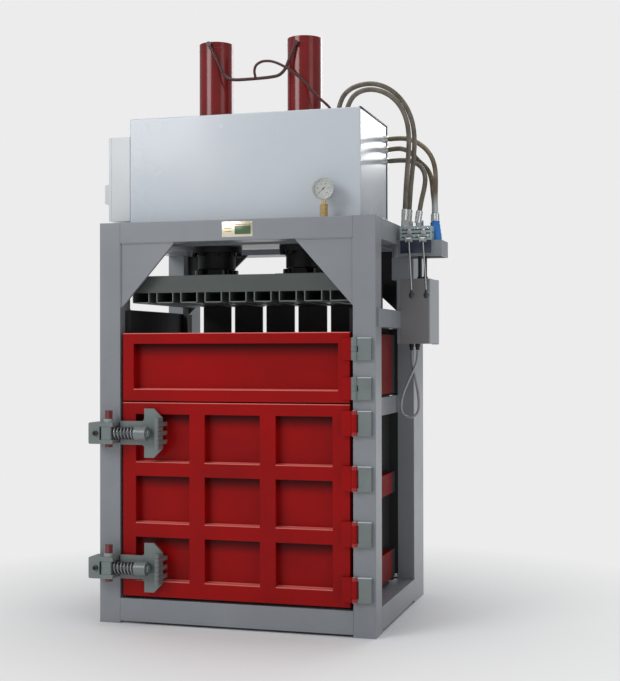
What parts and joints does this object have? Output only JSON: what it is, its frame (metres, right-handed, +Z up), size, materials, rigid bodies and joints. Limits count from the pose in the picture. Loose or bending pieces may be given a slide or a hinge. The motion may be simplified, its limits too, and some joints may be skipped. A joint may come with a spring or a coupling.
{
  "type": "recycling baler",
  "caption": "Vertical hydraulic baler that presses cardboard or film into bales: welded frame, ram platen, hinged front doors with spring latches, and a power cabinet on top.",
  "frame": {"origin": "on the floor, under the middle of the bounding box", "axes": "+Z up, -Y towards the door side where the operator stands, +X to the right as that operator sees it"},
  "size_m": [1.663, 1.22, 2.871],
  "materials": {
    "frame_paint": "satin",
    "cabinet_paint": "gloss",
    "box_paint": "satin",
    "door_paint": "gloss",
    "maroon_paint": "gloss",
    "platen_paint": "satin",
    "latch_paint": "satin",
    "bolt_steel": "satin",
    "bare_steel": "satin",
    "spring_steel": "satin",
    "rod_chrome": "polished",
    "fitting_steel": "bright",
    "hose_rubber": "matt",
    "boot_blue": "matt",
    "valve_paint": "satin",
    "motor_paint": "satin",
    "knob_black": "gloss",
    "black_plastic": "matt",
    "cable_grey": "matt",
    "gauge_steel": "polished",
    "gauge_glass": "clear",
    "needle_black": "matt",
    "stem_brass": "satin"
  },
  "bodies": {
    "frame": {"front_posts": "frame_paint", "rear_posts": "frame_paint", "top_beams": "frame_paint", "base_beams": "frame_paint", "corner_gussets": "frame_paint", "foot_pads": "frame_paint", "side_rails": "frame_paint", "press_head": "frame_paint", "chamber_floor": "frame_paint", "left_chamber_wall": "door_paint", "right_chamber_wall": "door_paint", "rear_chamber_wall": "frame_paint", "cabinet_floor": "cabinet_paint", "cabinet_shell": "cabinet_paint", "cabinet_rear_cover": "cabinet_paint", "oil_tank": "motor_paint", "pump_motor": "motor_paint", "side_box": "box_paint", "cylinder_barrels": "maroon_paint", "cylinder_glands": "maroon_paint", "gland_bolts": "bare_steel", "oil_pipes": "maroon_paint", "gauge_case": "gauge_steel", "gauge_glass": "gauge_glass", "gauge_stem": "stem_brass", "top_hose_outer": "hose_rubber", "top_hose_inner": "hose_rubber", "side_hose_upper": "hose_rubber", "side_hose_middle": "hose_rubber", "side_hose_lower": "hose_rubber", "hose_fittings": "fitting_steel", "valve_shelf": "frame_paint", "valve_block": "valve_paint", "hose_boots": "boot_blue", "equipment_bracket": "frame_paint", "electric_box": "box_paint", "electric_box_cable": "cable_grey", "conduits": "black_plastic", "latch_forks": "latch_paint", "latch_bolts": "bolt_steel", "hinge_plates": "latch_paint"},
    "platen": {"platen": "platen_paint", "platen_channels": "platen_paint", "piston_rods": "rod_chrome"},
    "upper_door": {"upper_door": "door_paint"},
    "lower_door": {"lower_door": "door_paint", "latch_brackets": "latch_paint"},
    "upper_latch": {"upper_latch_plate": "latch_paint", "upper_latch_rod": "latch_paint", "upper_latch_spring": "spring_steel"},
    "lower_latch": {"lower_latch_plate": "latch_paint", "lower_latch_rod": "latch_paint", "lower_latch_spring": "spring_steel"},
    "left_lever": {"left_lever": "knob_black"},
    "right_lever": {"right_lever": "knob_black"},
    "gauge_needle": {"gauge_needle": "needle_black"},
    "electric_box_door": {"electric_box_door": "box_paint"},
    "side_box_door": {"side_box_door": "box_paint", "side_box_cowl": "box_paint"},
    "side_box_lock": {"side_box_lock": "bare_steel"}
  },
  "joints": [
    {"name": "platen_slide", "type": "slide", "parent": "frame", "child": "platen", "axis": [0, 0, -1], "range_m": [0, 0.9]},
    {"name": "upper_door_hinge", "type": "hinge", "parent": "frame", "child": "upper_door", "pos_m": [0.512, -0.522, 1.24], "axis": [0, 0, 1], "range_deg": [0, 120]},
    {"name": "lower_door_hinge", "type": "hinge", "parent": "frame", "child": "lower_door", "pos_m": [0.512, -0.522, 0.603], "axis": [0, 0, 1], "range_deg": [0, 120]},
    {"name": "upper_latch_hinge", "type": "hinge", "parent": "lower_door", "child": "upper_latch", "pos_m": [-0.445, -0.566, 0.9235], "axis": [0, 0, 1], "range_deg": [0, 150]},
    {"name": "lower_latch_hinge", "type": "hinge", "parent": "lower_door", "child": "lower_latch", "pos_m": [-0.445, -0.566, 0.279], "axis": [0, 0, 1], "range_deg": [0, 150]},
    {"name": "left_lever_hinge", "type": "hinge", "parent": "frame", "child": "left_lever", "pos_m": [0.677, -0.082, 1.858], "axis": [1, 0, 0], "range_deg": [-10, 10], "stiffness_Nm_per_rad": 2},
    {"name": "right_lever_hinge", "type": "hinge", "parent": "frame", "child": "right_lever", "pos_m": [0.746, -0.082, 1.858], "axis": [1, 0, 0], "range_deg": [-10, 10], "stiffness_Nm_per_rad": 2},
    {"name": "gauge_needle_turn", "type": "hinge", "parent": "frame", "child": "gauge_needle", "pos_m": [0.349, -0.4608, 2.073], "axis": [0, 1, 0], "range_deg": [0, 264], "stiffness_Nm_per_rad": 0.001},
    {"name": "electric_box_hinge", "type": "hinge", "parent": "frame", "child": "electric_box_door", "pos_m": [0.763, 0.227, 1.5115], "axis": [0, 0, 1], "range_deg": [0, 110]},
    {"name": "side_box_hinge", "type": "hinge", "parent": "frame", "child": "side_box_door", "pos_m": [-0.77, -0.028, 2.17], "axis": [0, 0, -1], "range_deg": [0, 110]},
    {"name": "side_box_lock_turn", "type": "hinge", "parent": "side_box_door", "child": "side_box_lock", "pos_m": [-0.785, -0.348, 2.286], "axis": [1, 0, 0], "range_deg": [0, 90]}
  ]
}
